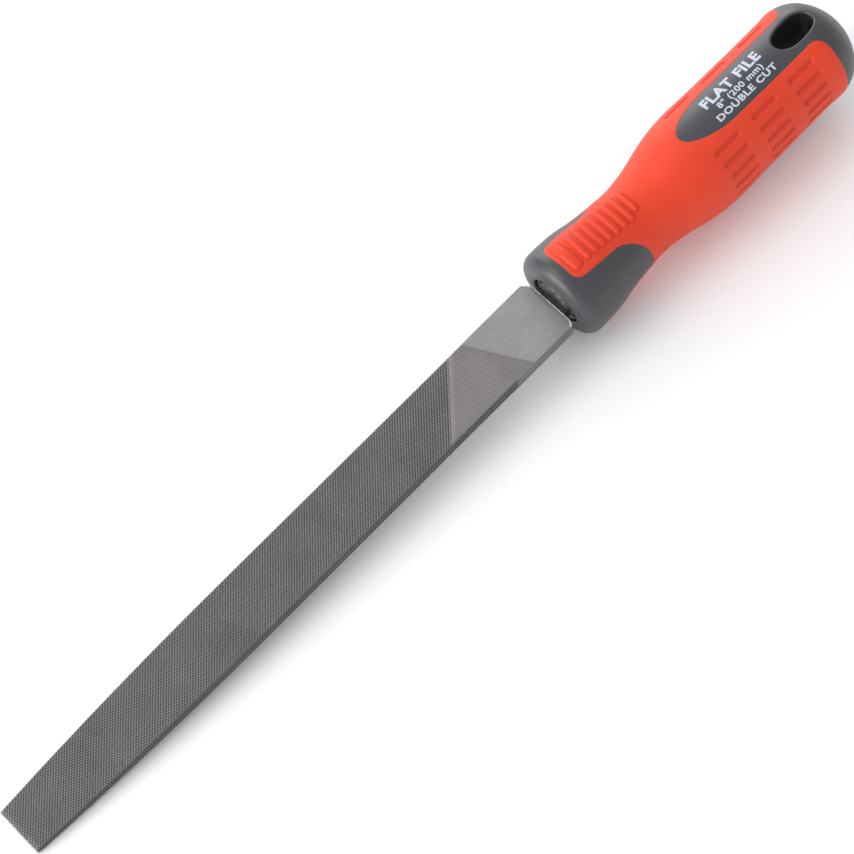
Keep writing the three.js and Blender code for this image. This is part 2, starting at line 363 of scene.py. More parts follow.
RUBBED_LENGTH = 1.8  # the first teeth at the point are rubbed bright
steel = Sheets("tooth", "polish", "plain", "scale")
heel_end, tip_end = end_outline()
heel_rows = [(pulled_in(heel_end, back), drop) for back, drop in SHOULDER_STEPS]
tip_rows = [(pulled_in(tip_end, -back), drop)
            for back, drop in ((EDGE_CHAMFER, 0.0), (0.0, EDGE_CHAMFER))]
rows_kept = {}
for side in (1, -1):
    points, edges, rows_kept[side] = face_layout(side, heel_rows[0][0], tip_rows[0][0])
    flat_points, triangles, _ = triangulated(points, edges)
    seen = flat_points * [1, side]
    bevel = np.clip((POINT_BEVEL["length"] + BEVEL_EDGE - flat_points[:, 0]) / BEVEL_EDGE, 0, 1)
    rubbed = np.clip(1 - flat_points[:, 0] / RUBBED_LENGTH, 0, 1)
    plain = np.clip(seen @ cut_axis(OVERCUT) - OVERCUT["last"] + 0.5, 0, 1)
    # Painted shade on the teeth: light on their crests, dark at the bottoms of the furrows.
    steel.add(in_blade(flat_points, side * face_height(flat_points, side)), triangles,
              tooth=crest_painted_shade(seen) * (1 - 0.5 * bevel), plain=plain,
              polish=np.maximum(0.3 * bevel, 0.4 * rubbed * crest_painted_shade(seen)))
    # The shoulder's ground chamfer is painted near white as a highlight, the point's chamfer only a
    # little.
    for rows, shine in ((heel_rows, 1.0), (tip_rows, 0.1)):
        base = face_height(rows[0][0], side)
        steel.skin([in_blade(outline, side * (base - drop)) for outline, drop in rows],
                   tooth=1.0, polish=shine, plain=1.0)

# The narrow edges, with the chamfers that join them to both faces.
SAME_STATION = 0.08
for edge in (-1, 1):
    borders = []
    for side in (1, -1):
        distance = np.array([d for d, _ in rows_kept[side][edge]])
        inner = np.stack([distance, edge * edge_y(distance, EDGE_CHAMFER)], 1)
        height = face_height(inner, side)
        which = 0 if edge < 0 else -1
        corners = []
        for rows in (tip_rows, heel_rows):
            base = float(face_height(rows[0][0], side)[which])
            corners.append([(*outline[which], side * (base - drop)) for outline, drop in rows])
        tip_corner, rear_corner = corners
        top = [(d, y, side * z) for (d, y), z in zip(inner, height)]
        low = [(d, edge * float(edge_y(d)), side * (z - EDGE_CHAMFER))
               for d, z in zip(distance, height)]
        top = np.array([tip_corner[0], *top, rear_corner[0]])
        low = np.array([tip_corner[-1], *low, rear_corner[-1]])
        plain = np.clip(top[:, 0] - EDGE_CUT["last"], 0, 1)
        # Painted shade on the edge's teeth: lighter on their crests, darker in their furrows.
        crest = 0.5 + 0.25 * (1 - edge_depth(top[:, 0]) / EDGE_CUT["depth"])
        shift = [point_x, 0, 0]
        steel.strip(top + shift, low + shift, tooth=crest, polish=0.08, plain=plain)
        steel.add(np.array(rear_corner) + shift, [(0, 1, 2)], tooth=1.0, polish=1.0, plain=1.0)
        borders.append(low)
    upper, lower = borders
    flat = [(p[0], p[2]) for p in (*upper, *lower)]
    ring = [*range(len(upper)), *range(len(flat) - 1, len(upper) - 1, -1)]
    kept = list(zip(ring, ring[1:] + ring[:1]))
    for d in edge_stations:
        above, below = [int(np.argmin(np.abs(row[:, 0] - d))) for row in borders]
        if max(abs(upper[above, 0] - d), abs(lower[below, 0] - d)) < SAME_STATION:
            kept.append((above, len(upper) + below))
    wall_points, triangles, _ = triangulated(flat, kept)
    ys = np.interp(wall_points[:, 0], upper[:, 0], np.abs(upper[:, 1]))
    on_lower = np.interp(wall_points[:, 0], lower[:, 0], np.abs(lower[:, 1]))
    ys = np.where(wall_points[:, 1] > 0, ys, on_lower)
    # The edge wall gets the same painted shade, a little darker.
    crest = 1 - edge_depth(wall_points[:, 0]) / EDGE_CUT["depth"]
    steel.add(np.stack([point_x + wall_points[:, 0], edge * ys, wall_points[:, 1]], 1), triangles,
              tooth=0.6 * crest,
              plain=0.1 * np.clip(wall_points[:, 0] - EDGE_CUT["last"], 0, 1))

# The square ends at the point and the shoulder.
for rows in (heel_rows, tip_rows):
    (inner, _), (outline, drop) = rows[0], rows[-1]
    ends = [in_blade(outline, side * (face_height(inner, side) - drop)) for side in (1, -1)]
    steel.strip(*ends, tooth=0.6, polish=0.05, plain=1.0)

# The tang is forged down from the heel and is rougher than the ground faces.
# Behind the shoulder, half the width, half the thickness.
TANG = [(-1.0, 6.0, 1.5), (0.6, 5.9, 1.5), (3.0, 5.6, 1.55), (62.0, 2.0, 1.1)]
TANG_CORNER = 0.45
tang_rows = []
for back, wide, thick in TANG:
    flat_y, flat_z = wide - TANG_CORNER, thick - TANG_CORNER
    half = [(wide, flat_z), (flat_y, thick), (-flat_y, thick), (-wide, flat_z)]
    around = half + [(-y, -z) for y, z in half]
    tang_rows.append(np.array([(point_x + blade_length + back, y, z) for y, z in around]))
steel.skin(tang_rows, closed=True, tooth=0.5, plain=1.0, scale=1.0)
for row in (tang_rows[0], tang_rows[-1]):
    steel.add(row, [(0, k, k + 1) for k in range(1, 7)], tooth=0.5, plain=1.0, scale=1.0)


def new_group(name, inputs, outputs):
    """A shader node group with named inputs (kind, default) and outputs, and no nodes between."""
    group = bpy.data.node_groups.new(name, "ShaderNodeTree")
    for label, (kind, value) in inputs.items():
        socket = group.interface.new_socket(label, in_out="INPUT", socket_type=kind)
        socket.default_value = value
    for label in outputs:
        group.interface.new_socket(label, in_out="OUTPUT", socket_type="NodeSocketFloat")
    return group, group.nodes.new("NodeGroupInput"), group.nodes.new("NodeGroupOutput")


def add_node(tree, kind, inputs, **settings):
    """A node with its plain settings, and with links or values for its inputs."""
    node = tree.nodes.new(kind)
    for key, value in settings.items():
        setattr(node, key, value)
    for name, source in inputs.items():
        if isinstance(source, bpy.types.NodeSocket):
            tree.links.new(source, node.inputs[name])
        else:
            node.inputs[name].default_value = source
    return node


def noise(tree, place, scale, detail, roughness=0.5, distortion=0.0):
    return add_node(tree, "ShaderNodeTexNoise", {
        "Vector": place, "Scale": scale, "Detail": detail, "Roughness": roughness,
        "Distortion": distortion}).outputs["Fac"]


def colour_steps(tree, amount, steps):
    """A colour ramp over steps of (place, red, green, blue)."""
    node = add_node(tree, "ShaderNodeValToRGB", {0: amount})
    elements = node.color_ramp.elements
    while len(elements) < len(steps):
        elements.new(0.5)
    for element, (place, *colour) in zip(elements, steps):
        element.position = place
        element.color = (*colour, 1)
    return node.outputs["Color"]


def ranged(tree, value, to_min, to_max, from_min=0.0, from_max=1.0):
    return add_node(tree, "ShaderNodeMapRange", {
        "Value": value, "From Min": from_min, "From Max": from_max, "To Min": to_min,
        "To Max": to_max}).outputs[0]


def relief(tree, height, strength, depth):
    return add_node(tree, "ShaderNodeBump", {
        "Strength": strength, "Distance": depth, "Height": height}).outputs["Normal"]


def maths(tree, operation, first, second, clamp=False):
    return add_node(tree, "ShaderNodeMath", {0: first, 1: second}, operation=operation,
                    use_clamp=clamp).outputs[0]


def blend_colour(tree, amount, first, second, mode="MIX"):
    return add_node(tree, "ShaderNodeMix", {0: amount, 6: first, 7: second}, data_type="RGBA",
                    blend_type=mode).outputs[2]


def painted(tree, name):
    return add_node(tree, "ShaderNodeAttribute", {}, attribute_name=name).outputs["Fac"]


def new_material(name, **plain):
    """A material with one Principled BSDF, its plain values set on the shader's own sockets."""
    material = bpy.data.materials.new(name)
    material.use_nodes = True
    shader = material.node_tree.nodes["Principled BSDF"]
    for label, value in plain.items():
        shader.inputs[label.replace("_", " ")].default_value = value
    return material, material.node_tree, shader


def feed(tree, node, **sources):
    """Links what changes over the surface to the named inputs of a shader or a group's output."""
    for label, source in sources.items():
        tree.links.new(source, node.inputs[label.replace("_", " ")])


# Fine marks in one direction, as grinding, brushing and sliding leave them.
drawn_marks, marks_in, marks_out = new_group("drawn_marks", {
    "Fineness": ("NodeSocketFloat", 1500.0), "Along": ("NodeSocketVector", (0.02, 1.0, 1.0)),
}, ["Lines", "Patches"])
marks_place = add_node(drawn_marks, "ShaderNodeTexCoord", {}).outputs["Object"]
stretched = add_node(drawn_marks, "ShaderNodeVectorMath", {
    0: marks_place, 1: marks_in.outputs["Along"]}, operation="MULTIPLY").outputs[0]
lines = noise(drawn_marks, stretched, marks_in.outputs["Fineness"], 5.0, 0.7)
patches = noise(drawn_marks, marks_place, 95.0, 4.0, 0.6)
feed(drawn_marks, marks_out, Lines=lines, Patches=patches)

file_steel, tree, shader = new_material("file_steel")
tooth, polish, plain, scale = [painted(tree, name) for name in steel.painted]
marks = add_node(tree, "ShaderNodeGroup", {"Fineness": 2100.0, "Along": (0.1, 1.0, 1.0)},
                 node_tree=drawn_marks)
lines, patches = marks.outputs["Lines"], marks.outputs["Patches"]
# The teeth's painted shade: from near black in the furrows to light grey on the crests.
toothed_colour = colour_steps(tree, tooth, [
    (0.1, 0.06, 0.056, 0.058), (0.45, 0.16, 0.15, 0.154), (0.75, 0.26, 0.246, 0.252),
    (1.0, 0.5, 0.478, 0.49)])
ground_colour = colour_steps(tree, lines, [
    (0.3, 0.285, 0.272, 0.278), (0.5, 0.33, 0.316, 0.323), (0.7, 0.37, 0.355, 0.362)])
colour = blend_colour(tree, plain, toothed_colour, ground_colour)
stain = colour_steps(tree, patches, [(0.3, 0.86, 0.85, 0.845), (0.65, 1.0, 1.0, 1.0)])
colour = blend_colour(tree, 1.0, colour, stain, "MULTIPLY")
# Painted glint: where polished, the colour is painted near white in patches, and the steel is made
# less metallic so that the white shows as a highlight.
glint = maths(tree, "MULTIPLY", maths(tree, "SUBTRACT", patches, 0.31), 5.0, clamp=True)
polish = maths(tree, "MULTIPLY", polish, glint)
colour = blend_colour(tree, polish, colour, (0.86, 0.85, 0.85, 1))
forge_scale = colour_steps(tree, patches, [
    (0.4, 0.012, 0.011, 0.011), (0.58, 0.035, 0.033, 0.032), (0.75, 0.2, 0.19, 0.185)])
colour = blend_colour(tree, scale, colour, forge_scale)
bare = maths(tree, "SUBTRACT", 1.0, maths(tree, "MULTIPLY", scale, 0.7))
bare = maths(tree, "SUBTRACT", bare, maths(tree, "MULTIPLY", polish, 0.55))
rough = ranged(tree, lines, 0.47, 0.41)
rough = maths(tree, "SUBTRACT", rough, maths(tree, "MULTIPLY", polish, 0.1))
feed(tree, shader, Base_Color=colour, Metallic=bare, Roughness=rough,
     Normal=relief(tree, lines, 0.3, 0.00003))

blade = steel.mesh("file_blade", smooth_below=20.0)
blade.data.materials.append(file_steel)
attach(blade, "root")
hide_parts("blade")

# ---- handle core -----------------------------------------------------------------------------
# A hard grey plastic moulding. It shows at the collar, at the two cheeks behind it, as a bare
# panel on the top and on the bottom, and as the rounded butt with the hang hole through it. The
# overmould sits in a shallow recess in it.
handle_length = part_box("handle_core")[1].x * TO_MM - handle_front_x
HANDLE_PROFILE = [  # distance from the front face, radius
    (0, 10.6), (0.5, 12.1), (1.5, 13.3), (2.8, 13.95), (4.3, 14.15), (7, 14.1), (12.5, 13.75),
    (18.3, 12.7), (25, 11.95), (31, 11.45), (36, 11.85), (41.1, 12.72), (46.8, 14.1),
    (52.5, 15.1), (59, 15.5), (68, 15.3), (96, 15.15), (101, 15.35), (104.2, 14.7), (107, 13.2),
    (109.3, 10.9), (111.3, 7.8), (112.5, 4.4), (handle_length, 0),
]
COLLAR_END = 4.3
DOME_START = 107.0
RECESS = 1.35
RECESS_EDGE = [(0.12, 0.0), (0.17, -RECESS)]  # in from the overmould's seam, lift
ROUND_STEPS = 150
UNROLL_RADIUS = 13.5
PART_LINE = math.radians(91.7)  # where the unrolled surface is closed, between two groove rows

# The overmould's outline: its front edge over the pad and round the cheeks, its rear edge round
# the panel and the ends of the side lobes.
PAD = {"front": 5.0, "half": 7.3, "corner": 2.6}
CHEEK = {"start": 20.0, "end": 27.4, "turn": 5.6, "curve": 0.68}
PANEL = {"tip": 53.2, "full": 69.0, "end": 96.8, "half": 6.45}
LOBE = {"end": 101.8, "corner": 4.0}
HOLE = {"centre": 98.2, "length": 7.05, "width": 4.15, "squareness": 2.3}
MOUTH_RADIUS = 7.9


def between(first, second, start, end, s):
    """The point at s on the straight way from the first, at start, to the second, at end."""
    return ((end - s) * first + (s - start) * second) / (end - start)


def smooth_curve(points, steps):
    """A centripetal curve through the given points, with so many steps between each two."""
    points = np.array(points, float)
    points = np.vstack([2 * points[0] - points[1], points, 2 * points[-1] - points[-2]])
    curve = []
    for four in zip(points, points[1:], points[2:], points[3:]):
        t = [0.0]
        for a, b in zip(four, four[1:]):
            t.append(t[-1] + math.sqrt(np.linalg.norm(b - a)))
        for s in np.linspace(t[1], t[2], steps, endpoint=False):
            level = list(four)
            for reach in (1, 2):
                level = [between(level[k], level[k + 1], t[k], t[k + reach], s)
                         for k in range(len(level) - 1)]
            curve.append(between(level[0], level[1], t[1], t[2], s))
    curve.append(points[-2])
    return np.array(curve)


handle_curve = smooth_curve(HANDLE_PROFILE, 10)


def handle_radius(along):
    return np.interp(along, handle_curve[:, 0], handle_curve[:, 1])


SLOPE_REACH = 0.2


def wrapped(along, angle, lift):
    """A point on the handle: along it, round it from straight up, and out from its surface."""
    along, angle = np.asarray(along, float), np.asarray(angle, float)
    slope = handle_radius(along + SLOPE_REACH) - handle_radius(along - SLOPE_REACH)
    slope = slope / (2 * SLOPE_REACH)
    steep = np.sqrt(1 + slope ** 2)
    radius = handle_radius(along) + lift / steep
    x = handle_front_x + along - lift * slope / steep
    return np.stack([x, radius * np.sin(angle), radius * np.cos(angle)], -1)


def angle_at(along, y):
    """The angle from straight up at which the surface has this y."""
    return np.arcsin(np.clip(np.asarray(y) / handle_radius(along), -1, 1))


def quarter_turn(steps, place):
    return [place(math.cos(a), math.sin(a)) for a in np.linspace(0, math.pi / 2, steps + 1)]


SEAM_STEP = 0.3


def evened(points):
    """The same line with even steps between its points, measured on the unrolled surface."""
    points = np.asarray(points, float)
    flat = points * [1, UNROLL_RADIUS]
    run = np.concatenate([[0], np.cumsum(np.linalg.norm(np.diff(flat, axis=0), axis=1))])
    marks_at = np.linspace(0, run[-1], max(2, int(round(run[-1] / SEAM_STEP)) + 1))
    return np.stack([np.interp(marks_at, run, points[:, k]) for k in (0, 1)], 1)


def front_seam_quarter():
    """The overmould's front edge from straight up to the side, as (along, angle)."""
    flat = [(PAD["front"], 0.0)]
    flat += quarter_turn(24, lambda c, s: (PAD["front"] + PAD["corner"] * (1 - s),
                                           PAD["half"] - PAD["corner"] * (1 - c)))[::-1]
    arch = quarter_turn(160, lambda c, s: (
        CHEEK["start"] + (CHEEK["end"] - CHEEK["start"]) * s,
        PAD["half"] + CHEEK["turn"] * (1 - c) ** CHEEK["curve"]))
    flat += [(a, y) for a, y in arch if y < handle_radius(a) * 0.9995]
    line = [(a, float(angle_at(a, y))) for a, y in flat]
    line.append((line[-1][0] + 0.02, math.pi / 2))
    return evened(line)


def rear_seam_quarter():
    """The overmould's rear edge from the panel's tip to the side, as (along, angle)."""
    flat = quarter_turn(40, lambda c, s: (
        PANEL["tip"] + (PANEL["full"] - PANEL["tip"]) * (1 - c), PANEL["half"] * s))
    flat += [(a, PANEL["half"]) for a in np.linspace(PANEL["full"] + 1, PANEL["end"], 28)]
    flat += quarter_turn(24, lambda c, s: (
        LOBE["end"] - LOBE["corner"] * (1 - s), PANEL["half"] + LOBE["corner"] * (1 - c)))
    side = handle_radius(LOBE["end"])
    flat += [(LOBE["end"], y) for y in side * np.sin(np.linspace(0.8, 1.56, 12))]
    line = [(a, float(angle_at(a, y))) for a, y in flat]
    line.append((LOBE["end"], math.pi / 2))
    return evened(line)


def all_round(quarter):
    """The closed seam, opened at the part line: the quarter is mirrored at the top and the side."""
    half = np.concatenate([quarter, [(a, math.pi - w) for a, w in quarter[::-1][1:]]])
    turned_on = [(a, w - 2 * math.pi) for a, w in half if w > PART_LINE + 1e-4]
    other = [(a, -w) for a, w in half[::-1]]
    front = [(a, w) for a, w in half[1:] if w < PART_LINE - 1e-4]
    end = float(np.interp(PART_LINE, half[:, 1], half[:, 0]))
    below = [(a, w) for a, w in turned_on if w < -math.pi - 1e-6]
    line = [(end, PART_LINE - 2 * math.pi)] + below + other + front + [(end, PART_LINE)]
    return np.array(line)


def shifted(line, distance):
    """A seam moved sideways over the surface: to greater distances along the handle if positive."""
    radius = handle_radius(line[:, 0])
    step = np.stack([np.gradient(line[:, 0]), np.gradient(line[:, 1]) * radius], 1)
    step /= np.linalg.norm(step, axis=1)[:, None]
    moved = line + distance * np.stack([step[:, 1], -step[:, 0] / radius], 1)
    moved[[0, -1], 1] = line[[0, -1], 1]
    moved[[0, -1], 0] = line[[0, -1], 0] + distance
    return moved


front_seam = all_round(front_seam_quarter())
rear_seam = all_round(rear_seam_quarter())


CLOSEST = 0.6  # of a fill step: how near a drawn line a fill point may lie


class Unrolled:
    """A layout on the unrolled handle: points with a lift, the edges to keep, and fill points."""

    def __init__(self):
        self.points, self.lifts, self.edges = [], [], []

    def line(self, points, lift, closed=False):
        first = len(self.points)
        self.points += [(float(a), float(w) * UNROLL_RADIUS) for a, w in points]
        self.lifts += np.broadcast_to(lift, len(points)).tolist()
        last = len(self.points)
        self.edges += [(k, k + 1) for k in range(first, last - 1)]
        if closed:
            self.edges.append((last - 1, first))

    def both_faces(self, outlines):
        """Closed lines of (along, y, lift) on the upper side, and the same on the under side."""
        for turned_over in (False, True):
            for along, y, lift in outlines:
                angle = angle_at(along, y)
                angle = -math.pi - angle if turned_over else angle
                self.line(np.stack([along, angle], 1), lift, closed=True)

    def sides(self, stops, lift, step):
        """Both borders at the part line, with the same points on each."""
        stations = [stops[0]]
        for stop in stops[1:]:
            count = max(1, int(round((stop - stations[-1]) / step)))
            stations += np.linspace(stations[-1], stop, count + 1)[1:].tolist()
        for angle in (PART_LINE, PART_LINE - 2 * math.pi):
            self.line([(a, angle) for a in stations], lift(np.array(stations)))

    def fill(self, start, end, allowed, lift, step):
        """Fill points on a staggered grid, kept off the lines already drawn."""
        wide = 2 * math.pi * UNROLL_RADIUS
        columns = int((end - start) / step)
        rows = int(wide / step)
        grid = [(start + (k + 0.5) * (end - start) / columns,
                 PART_LINE - 2 * math.pi + (j + (0.5 if k % 2 else 0.25)) * 2 * math.pi / rows)
                for k in range(columns) for j in range(rows)]
        grid = np.array(grid)
        grid = grid[allowed(grid[:, 0], grid[:, 1])]
        near = {}
        for p in self.points:
            near.setdefault((int(p[0] // step), int(p[1] // step)), []).append(p)
        kept = []
        for a, w in grid:
            q = (a, w * UNROLL_RADIUS)
            i, j = int(q[0] // step), int(q[1] // step)
            around = [p for k in (i - 1, i, i + 1) for m in (j - 1, j, j + 1)
                      for p in near.get((k, m), ())]
            if all((p[0] - q[0]) ** 2 + (p[1] - q[1]) ** 2 >= (CLOSEST * step) ** 2
                   for p in around):
                kept.append((a, w))
        kept = np.array(kept)
        self.points += [(float(a), float(w) * UNROLL_RADIUS) for a, w in kept]
        self.lifts += np.asarray(lift(kept[:, 0], kept[:, 1])).tolist()

    def surface(self, sheets, keep, **values):
        """Adds the triangles whose middle is kept, rolled back round the handle."""
        flat, triangles, sources = triangulated(self.points, self.edges)
        lifts = np.array(self.lifts)[np.maximum(sources, 0)]
        middle = flat[triangles].mean(axis=1)
        triangles = triangles[keep(middle[:, 0], middle[:, 1] / UNROLL_RADIUS)]
        angle = flat[:, 1] / UNROLL_RADIUS
        sheets.add(wrapped(flat[:, 0], angle, lifts), triangles,
                   **{k: v(flat[:, 0], angle, lifts) for k, v in values.items()})


def in_grip(along, angle, margin=0.0):
    """True where the overmould covers the surface."""
    front = np.interp(angle, front_seam[:, 1], front_seam[:, 0])
    rear = np.interp(angle, rear_seam[:, 1], rear_seam[:, 0])
    return (along > front + margin) & (along < rear - margin)


def hole_outline(grow, count=72):
    """The hang hole's outline seen from above, grown all round."""
    power = 2 / HOLE["squareness"]
    turn = np.linspace(0, 2 * math.pi, count, endpoint=False)
    c, s = np.cos(turn), np.sin(turn)
    along = HOLE["centre"] + (HOLE["length"] + grow) * np.sign(c) * np.abs(c) ** power
    return along, (HOLE["width"] + grow) * np.sign(s) * np.abs(s) ** power


def in_hole(along, y, grow=0.0):
    u = np.abs(along - HOLE["centre"]) / (HOLE["length"] + grow)
    v = np.abs(y) / (HOLE["width"] + grow)
    return u ** HOLE["squareness"] + v ** HOLE["squareness"] < 1


HOLE_RIM = [(0.75, 0.0), (0.45, 0.03), (0.24, 0.12), (0.08, 0.3), (0.0, 0.55)]  # grow, sink

GATE_PIP = {"along": 2.9, "angle": math.radians(-41.0),
            "steps": [(0.4, -0.1), (0.36, 0.06), (0.22, 0.14), (0.001, 0.15)]}  # radius, lift

core = Sheets("shade")
layout = Unrolled()
round_angles = PART_LINE - 2 * math.pi + np.arange(ROUND_STEPS + 1) * 2 * math.pi / ROUND_STEPS
for place in (COLLAR_END, DOME_START):
    layout.line([(place, w) for w in round_angles], 0.0)
for inward, lift in RECESS_EDGE:
    layout.line(shifted(front_seam, inward), lift)
    layout.line(shifted(rear_seam, -inward), lift)
side_stops = [COLLAR_END, *[front_seam[0, 0] + inward for inward, _ in RECESS_EDGE],
              *[rear_seam[0, 0] - inward for inward, _ in RECESS_EDGE[::-1]], DOME_START]


def core_lift(along, angle=PART_LINE):
    return np.where(in_grip(along, angle, 0.15), -RECESS, 0.0)


layout.sides(side_stops, core_lift, step=1.2)
for grow, sink in HOLE_RIM:
    layout.both_faces([(*hole_outline(grow), -sink)])


def off_hole(along, angle, grow=1.0):
    return ~in_hole(along, np.sin(angle) * handle_radius(along), grow)


layout.fill(COLLAR_END, DOME_START, off_hole, core_lift, step=1.1)
layout.surface(core, lambda along, angle: off_hole(along, angle, -0.02))

# A small pip beside the top of the collar, left where the plastic was fed into the mould.
pip_rows = []
turn = np.linspace(0, 2 * math.pi, 12, endpoint=False)
for reach, rise in GATE_PIP["steps"]:
    along = GATE_PIP["along"] + reach * np.cos(turn)
    angle = GATE_PIP["angle"] + reach * np.sin(turn) / handle_radius(along)
    pip_rows.append(wrapped(along, angle, rise))
core.skin(pip_rows, closed=True)
core.strip(pip_rows[0][::-1], np.repeat(pip_rows[0].mean(0)[None], 12, 0), closed=True)

# The wall of the hang hole, drawn in a little towards its middle, where the mould halves meet.
WALL_STEPS = 10
WALL_DRAWN_IN = 0.3
along, y = hole_outline(0.0)
upper = wrapped(along, angle_at(along, y), -HOLE_RIM[-1][1])
hole_rows = [upper]
for k in range(1, WALL_STEPS):
    level = 1 - 2 * k / WALL_STEPS
    inner_along, inner_y = hole_outline(-WALL_DRAWN_IN * (1 - level ** 2))
    hole_rows.append(np.stack([handle_front_x + inner_along, inner_y, upper[:, 2] * level], 1))
hole_rows.append(wrapped(along, -math.pi - angle_at(along, y), -HOLE_RIM[-1][1]))
# The hole's wall is painted in full shade.
core.skin(hole_rows, closed=True, shade=1.0)


def ring(along, radius):
    """A row of points round the handle's axis."""
    return np.stack([np.full(ROUND_STEPS + 1, handle_front_x + along),
                     radius * np.sin(round_angles), radius * np.cos(round_angles)], 1)


def turned(sheets, profile):
    """A surface of revolution from (along, radius) points."""
    sheets.skin([ring(along, max(radius, 1e-6)) for along, radius in profile])


def bare_profile(start, end):
    """The bare plastic's outline between two distances along the handle."""
    return handle_curve[(handle_curve[:, 0] > start) & (handle_curve[:, 0] < end)].tolist()


# The mouth's rim, from inside it out to the front face: along, and out from the mouth's radius.
MOUTH_RIM = [(6.0, -0.2), (2.2, -0.05), (0.8, 0.0), (0.42, 0.05), (0.2, 0.14), (0.12, 0.34),
             (0.16, 0.5), (0.3, 0.58), (0.16, 0.68), (0.1, 0.95), (0.08, 1.7)]
turned(core, [*[(along, MOUTH_RADIUS + out) for along, out in MOUTH_RIM],
              *bare_profile(0.0, COLLAR_END - 0.15), (COLLAR_END, handle_radius(COLLAR_END))])
turned(core, [(DOME_START, handle_radius(DOME_START)),
              *bare_profile(DOME_START + 0.15, handle_length), (handle_length, 0)])

# Fine spark texture of a moulding tool, with faint clouding and rubbed patches.
moulded_grain, grain_in, grain_out = new_group("moulded_grain", {
    "Fineness": ("NodeSocketFloat", 2600.0)}, ["Grain", "Cloud", "Rubbed"])
grain_place = add_node(moulded_grain, "ShaderNodeTexCoord", {}).outputs["Object"]
grain = noise(moulded_grain, grain_place, grain_in.outputs["Fineness"], 3.0, 0.55)
cloud = noise(moulded_grain, grain_place, 60.0, 4.0, 0.6)
scuffs = noise(moulded_grain, grain_place, 240.0, 6.0, 0.75, 0.6)
rubbed = ranged(moulded_grain, scuffs, 0.0, 1.0, 0.58, 0.75)
feed(moulded_grain, grain_out, Grain=grain, Cloud=cloud, Rubbed=rubbed)
PAINTED_SHADE_LEFT = 0.62  # how much of the colour is left where shade is painted: in the hang hole, the grooves and the seam edges


def moulded_material(name, deep, light, rough_range, fineness, depth, **plain):
    """A moulded plastic or rubber: two close tones, painted shade where the shade value is set, a
    spark-textured surface and faint rubbing.
    """
    material, tree, shader = new_material(name, **plain)
    texture = add_node(tree, "ShaderNodeGroup", {"Fineness": fineness}, node_tree=moulded_grain)
    tone = ranged(tree, texture.outputs["Cloud"], 0.0, 1.0, 0.35, 0.65)
    colour = blend_colour(tree, tone, (*deep, 1), (*light, 1))
    painted_shade_colour = [PAINTED_SHADE_LEFT * level for level in deep]
    # Painted shade: the colour is darkened where the shade value is set.
    colour = blend_colour(tree, painted(tree, "shade"), colour, (*painted_shade_colour, 1))
    rough = ranged(tree, texture.outputs["Rubbed"], *rough_range)
    feed(tree, shader, Base_Color=colour, Roughness=rough,
         Normal=relief(tree, texture.outputs["Grain"], 0.5, depth))
    return material


grey_plastic = moulded_material("grey_plastic", (0.029, 0.029, 0.034), (0.037, 0.037, 0.043),
                                rough_range=(0.4, 0.34), fineness=2600.0, depth=0.00003,
                                Specular_IOR_Level=0.75)
handle_core = core.mesh("handle_core_moulding", smooth_below=55.0)
handle_core.data.materials.append(grey_plastic)
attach(handle_core, "root")
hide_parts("handle_core")

# ---- tang sleeve -----------------------------------------------------------------------------
# A black plastic sleeve that is pressed into the handle and grips the tang. In the mouth its
# front is uneven and shiny where it was softened to take the tang.
SLEEVE = {"length": 56.0, "end_radius": 5.85, "waves": 9, "wave_height": 0.5,
          "even_from": 7.2}  # the swollen front is even outside this radius
BEAD = [  # the swollen front: along the handle, radius
    (3.9, 7.4), (1.4, 7.55), (0.9, 7.3), (0.8, 7.0), (1.05, 6.75), (1.4, 6.6), (1.1, 6.4),
    (0.35, 5.9), (0.1, 5.2), (0.0, 4.4), (0.05, 3.4), (0.15, 2.2), (0.2, 1.0), (0.2, 0.0)]
socket = Sheets("shade")
lumps = np.random.default_rng(5)
waves = [(lumps.integers(3, 17), lumps.uniform(0.3, 1.3), lumps.uniform(0, 6.28))
         for _ in range(SLEEVE["waves"])]
rows = []
for along, radius in smooth_curve(BEAD, 4):
    lump = sum(np.sin(turns * round_angles + stretch * radius * 2.2 + start)
               for turns, stretch, start in waves) / SLEEVE["waves"]
    strength = SLEEVE["wave_height"] * np.clip((SLEEVE["even_from"] - radius) / 0.8, 0, 1)
    row = ring(along, max(radius, 1e-6))
    row[:, 0] += strength * np.clip(radius / 2, 0, 1) * lump
    row[-1] = row[0]
    rows.append(row)
socket.skin(rows)
turned(socket, [BEAD[0], (SLEEVE["length"], SLEEVE["end_radius"]), (SLEEVE["length"], 0)])
sleeve_black = moulded_material("sleeve_black", (0.010, 0.010, 0.011), (0.07, 0.07, 0.074),
                                rough_range=(0.36, 0.12), fineness=900.0, depth=0.00018,
                                Specular_IOR_Level=0.6)
tang_sleeve = socket.mesh("tang_sleeve_plug", smooth_below=60.0)
tang_sleeve.data.materials.append(sleeve_black)
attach(tang_sleeve, "root")
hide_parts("tang_sleeve")

# ---- grip overmould --------------------------------------------------------------------------
# Soft red-orange rubber moulded over the core, a little proud of it and rounded at its edges.
# It has thumb ribs on the top and the bottom strip, and short grooves in the two side lobes.
GRIP_PROUD = 0.1
